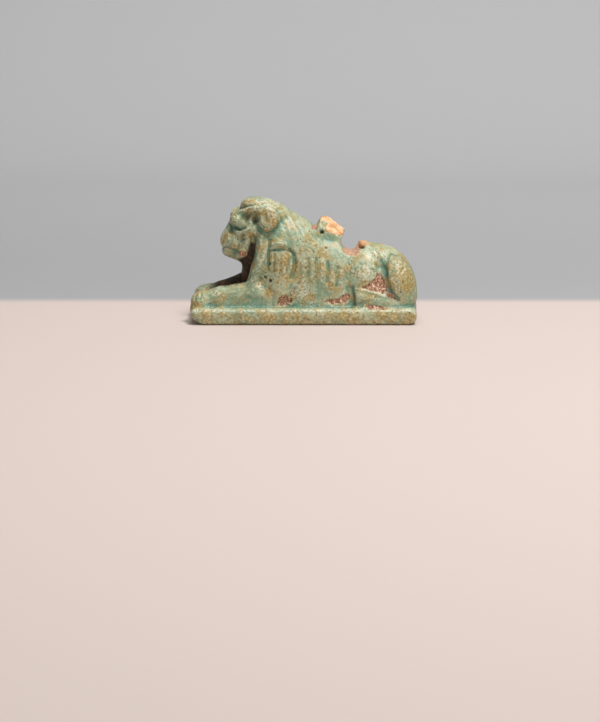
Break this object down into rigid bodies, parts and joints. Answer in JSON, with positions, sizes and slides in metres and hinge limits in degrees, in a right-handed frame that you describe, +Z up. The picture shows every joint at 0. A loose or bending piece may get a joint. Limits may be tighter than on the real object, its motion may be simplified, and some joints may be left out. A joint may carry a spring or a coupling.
{
  "type": "lion amulet",
  "caption": "Small glazed faience amulet of a lion lying on a thin plinth, its suspension loop broken off.",
  "frame": {"origin": "middle of the plinth's underside", "axes": "+Z up, the lion's head towards -X, its left side at -Y"},
  "size_m": [0.0359, 0.0124, 0.0195],
  "materials": {
    "faience": "semi-gloss turquoise glaze, mottled with ochre wear"
  },
  "bodies": {
    "root": {"lion_amulet": "faience"}
  },
  "joints": []
}
